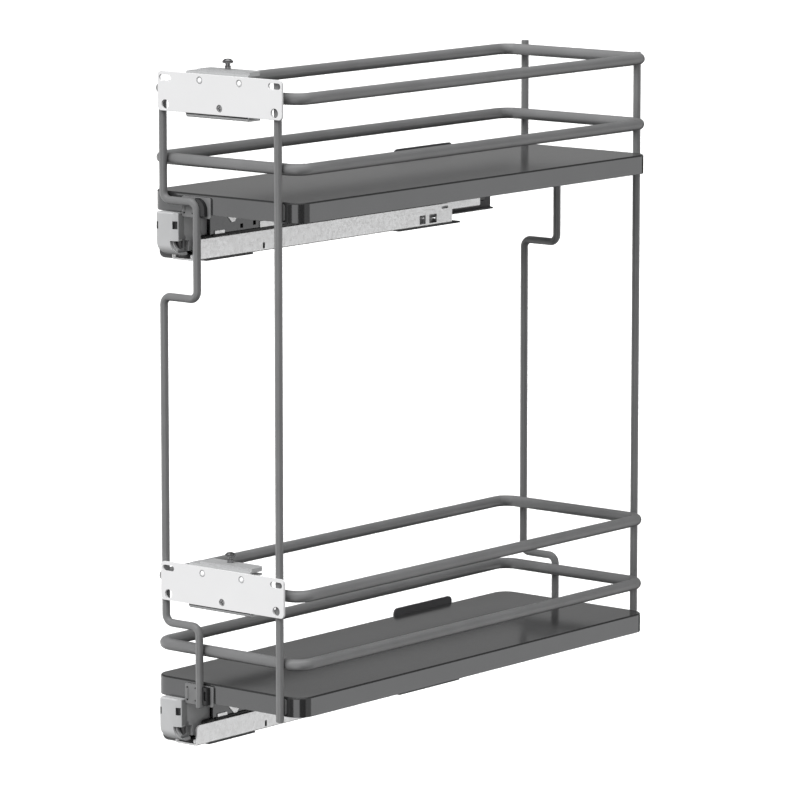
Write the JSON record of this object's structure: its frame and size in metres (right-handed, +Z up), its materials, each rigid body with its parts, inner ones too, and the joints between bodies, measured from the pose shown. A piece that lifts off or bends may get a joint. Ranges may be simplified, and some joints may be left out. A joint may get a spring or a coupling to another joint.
{
  "type": "pull-out cabinet drawer",
  "caption": "Narrow two-tier pull-out basket for a base cabinet, on under-tray roller runners screwed to one cabinet side, with height-adjustable door plates.",
  "frame": {"origin": "on the cabinet side wall plane, midway between the two wall screws of the lower bracket", "axes": "+X from the cabinet side wall into the cabinet, +Y towards the cabinet's back, +Z up; the basket pulls out along -Y"},
  "size_m": [0.165, 0.4833, 0.5699],
  "materials": {
    "anthracite_coat": "fine textured powder coat, satin",
    "dark_coat": "dark powder coat on folded plate",
    "white_coat": "smooth white powder coat",
    "galvanised": "galvanised sheet with fine spangle",
    "zinc_steel": "zinc plated",
    "light_plastic": "light grey moulded plastic",
    "black_plastic": "black moulded plastic"
  },
  "bodies": {
    "cabinet_side": {"lower_wall_bracket": "dark_coat", "lower_cabinet_rail": "galvanised", "lower_soft_close_housing": "black_plastic", "upper_wall_bracket": "dark_coat", "upper_cabinet_rail": "galvanised", "upper_soft_close_housing": "black_plastic"},
    "basket": {"front_left_wire": "anthracite_coat", "rear_left_wire": "anthracite_coat", "front_right_wire": "anthracite_coat", "rear_right_wire": "anthracite_coat", "lower_tray": "anthracite_coat", "lower_middle_ring": "anthracite_coat", "lower_top_ring": "anthracite_coat", "lower_front_clip": "anthracite_coat", "lower_rear_clip": "anthracite_coat", "lower_wire_saddle": "black_plastic", "lower_front_spacer": "anthracite_coat", "lower_rear_spacer": "anthracite_coat", "lower_ring_holder": "zinc_steel", "lower_drawer_rail": "galvanised", "lower_rail_end_cap": "black_plastic", "lower_tray_carrier": "dark_coat", "lower_catch_housing": "light_plastic", "lower_drive_pin": "zinc_steel", "upper_tray": "anthracite_coat", "upper_middle_ring": "anthracite_coat", "upper_top_ring": "anthracite_coat", "upper_front_clip": "anthracite_coat", "upper_rear_clip": "anthracite_coat", "upper_wire_saddle": "black_plastic", "upper_front_spacer": "anthracite_coat", "upper_rear_spacer": "anthracite_coat", "upper_ring_holder": "zinc_steel", "upper_drawer_rail": "galvanised", "upper_rail_end_cap": "black_plastic", "upper_tray_carrier": "dark_coat", "upper_catch_housing": "light_plastic", "upper_drive_pin": "zinc_steel"},
    "lower_middle_slide": {"lower_middle_rail": "galvanised"},
    "lower_outer_rollers": {"lower_outer_roller_cage": "black_plastic"},
    "lower_inner_rollers": {"lower_inner_roller_cage": "black_plastic"},
    "lower_soft_close": {"lower_soft_close_slider": "light_plastic"},
    "lower_catch_lever": {"lower_release_lever": "light_plastic"},
    "lower_door_mount": {"lower_door_carriage": "zinc_steel", "lower_door_plate": "white_coat", "lower_clamp_screw": "zinc_steel"},
    "lower_adjuster": {"lower_height_screw": "zinc_steel"},
    "upper_middle_slide": {"upper_middle_rail": "galvanised"},
    "upper_outer_rollers": {"upper_outer_roller_cage": "black_plastic"},
    "upper_inner_rollers": {"upper_inner_roller_cage": "black_plastic"},
    "upper_soft_close": {"upper_soft_close_slider": "light_plastic"},
    "upper_catch_lever": {"upper_release_lever": "light_plastic"},
    "upper_door_mount": {"upper_door_carriage": "zinc_steel", "upper_door_plate": "white_coat", "upper_clamp_screw": "zinc_steel"},
    "upper_adjuster": {"upper_height_screw": "zinc_steel"}
  },
  "joints": [
    {"name": "pull_out", "type": "slide", "parent": "cabinet_side", "child": "basket", "axis": [0, -1, 0], "range_m": [0, 0.43]},
    {"name": "lower_middle_rail_slide", "type": "slide", "parent": "cabinet_side", "child": "lower_middle_slide", "axis": [0, -1, 0], "range_m": [0, 0.215]},
    {"name": "lower_outer_roller_slide", "type": "slide", "parent": "cabinet_side", "child": "lower_outer_rollers", "axis": [0, -1, 0], "range_m": [0, 0.1075]},
    {"name": "lower_inner_roller_slide", "type": "slide", "parent": "cabinet_side", "child": "lower_inner_rollers", "axis": [0, -1, 0], "range_m": [0, 0.3225]},
    {"name": "lower_soft_close_slide", "type": "slide", "parent": "cabinet_side", "child": "lower_soft_close", "axis": [0, -1, 0], "range_m": [0, 0.04], "stiffness_N_per_m": 30},
    {"name": "lower_lever_press", "type": "hinge", "parent": "basket", "child": "lower_catch_lever", "pos_m": [0.0364, -0.1938, -0.0004], "axis": [1, 0, 0], "range_deg": [0, 8], "stiffness_Nm_per_rad": 0.05},
    {"name": "lower_height_adjust", "type": "slide", "parent": "basket", "child": "lower_door_mount", "axis": [0, 0, 1], "range_m": [-0.0021, 0.0021]},
    {"name": "lower_height_screw_turn", "type": "hinge", "parent": "basket", "child": "lower_adjuster", "pos_m": [0.0845, -0.1905, 0.1388], "axis": [0, 0, 1], "range_deg": [-1080.5, 1080.5]},
    {"name": "upper_middle_rail_slide", "type": "slide", "parent": "cabinet_side", "child": "upper_middle_slide", "axis": [0, -1, 0], "range_m": [0, 0.215]},
    {"name": "upper_outer_roller_slide", "type": "slide", "parent": "cabinet_side", "child": "upper_outer_rollers", "axis": [0, -1, 0], "range_m": [0, 0.1075]},
    {"name": "upper_inner_roller_slide", "type": "slide", "parent": "cabinet_side", "child": "upper_inner_rollers", "axis": [0, -1, 0], "range_m": [0, 0.3225]},
    {"name": "upper_soft_close_slide", "type": "slide", "parent": "cabinet_side", "child": "upper_soft_close", "axis": [0, -1, 0], "range_m": [0, 0.04], "stiffness_N_per_m": 30},
    {"name": "upper_lever_press", "type": "hinge", "parent": "basket", "child": "upper_catch_lever", "pos_m": [0.0364, -0.1938, 0.4012], "axis": [1, 0, 0], "range_deg": [0, 8], "stiffness_Nm_per_rad": 0.05},
    {"name": "upper_height_adjust", "type": "slide", "parent": "basket", "child": "upper_door_mount", "axis": [0, 0, 1], "range_m": [-0.0021, 0.0021]},
    {"name": "upper_height_screw_turn", "type": "hinge", "parent": "basket", "child": "upper_adjuster", "pos_m": [0.0845, -0.1905, 0.5404], "axis": [0, 0, 1], "range_deg": [-1080.5, 1080.5]}
  ],
  "couplings": [
    {"joint": "lower_middle_rail_slide", "follows": "pull_out", "ratio": 0.5},
    {"joint": "lower_outer_roller_slide", "follows": "pull_out", "ratio": 0.25},
    {"joint": "lower_inner_roller_slide", "follows": "pull_out", "ratio": 0.75},
    {"joint": "lower_height_screw_turn", "follows": "lower_height_adjust", "rad_per_m": -8976},
    {"joint": "upper_middle_rail_slide", "follows": "pull_out", "ratio": 0.5},
    {"joint": "upper_outer_roller_slide", "follows": "pull_out", "ratio": 0.25},
    {"joint": "upper_inner_roller_slide", "follows": "pull_out", "ratio": 0.75},
    {"joint": "upper_height_screw_turn", "follows": "upper_height_adjust", "rad_per_m": -8976}
  ]
}
